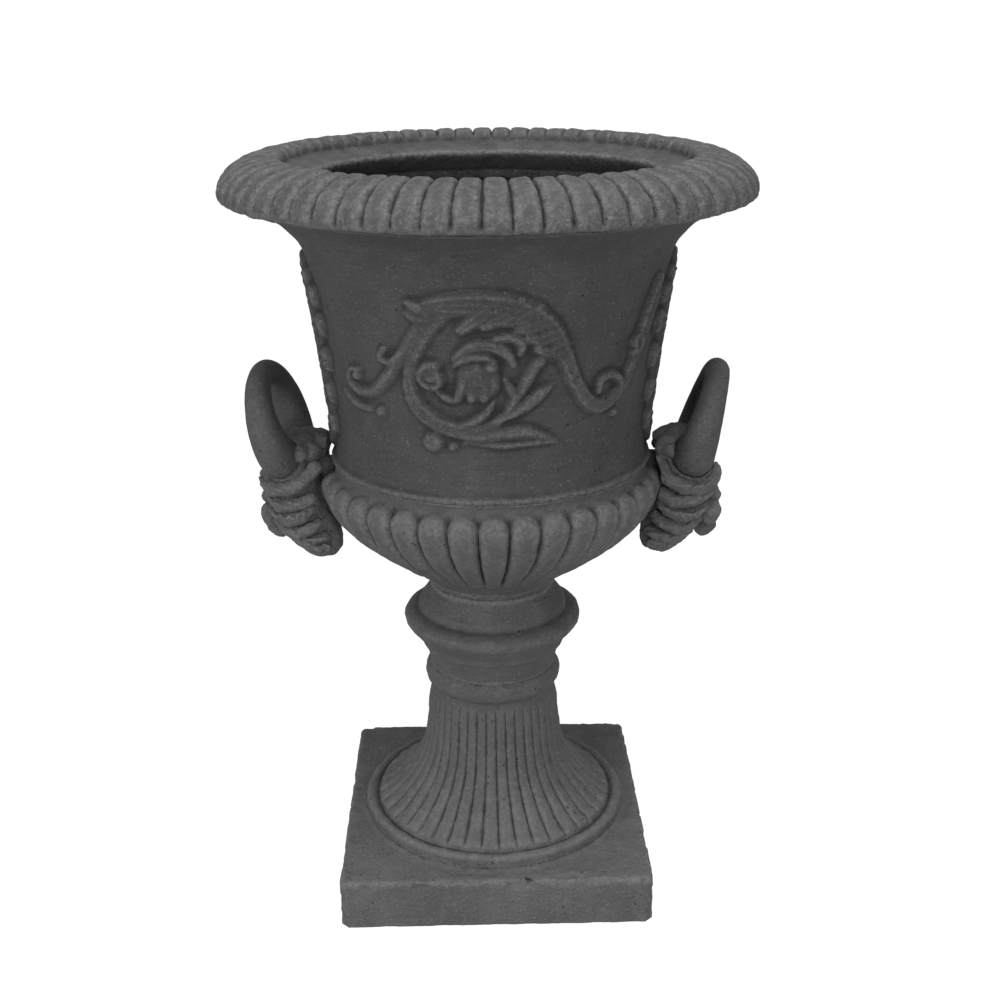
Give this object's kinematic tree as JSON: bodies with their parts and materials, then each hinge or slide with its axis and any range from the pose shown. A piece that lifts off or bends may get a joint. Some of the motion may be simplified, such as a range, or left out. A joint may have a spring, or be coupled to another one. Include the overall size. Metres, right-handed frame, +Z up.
{
  "type": "urn planter",
  "caption": "Tall campana urn planter with a gadrooned lip and under-bowl, mask handles with standing rings, and a fluted socle on a square plinth.",
  "frame": {"origin": "centre of the plinth's underside, on the floor", "axes": "+Z up, -Y towards the front face of the plinth"},
  "size_m": [0.4702, 0.4702, 0.6998],
  "materials": {
    "cast_composite": "dry matte charcoal, rough cast face with pits and worn edges",
    "galvanised_steel": "dull galvanised"
  },
  "bodies": {
    "root": {"rim": "cast_composite", "bell": "cast_composite", "under_bowl": "cast_composite", "stem": "cast_composite", "socle": "cast_composite", "plinth": "cast_composite", "handle_mask_right": "cast_composite", "handle_mask_left": "cast_composite", "ring_handle_right": "cast_composite", "ring_handle_left": "cast_composite", "tie_rod": "galvanised_steel", "tie_washers": "galvanised_steel", "tie_nuts": "galvanised_steel", "mask_studs": "galvanised_steel", "mask_washers": "galvanised_steel", "mask_nuts": "galvanised_steel"}
  },
  "joints": []
}
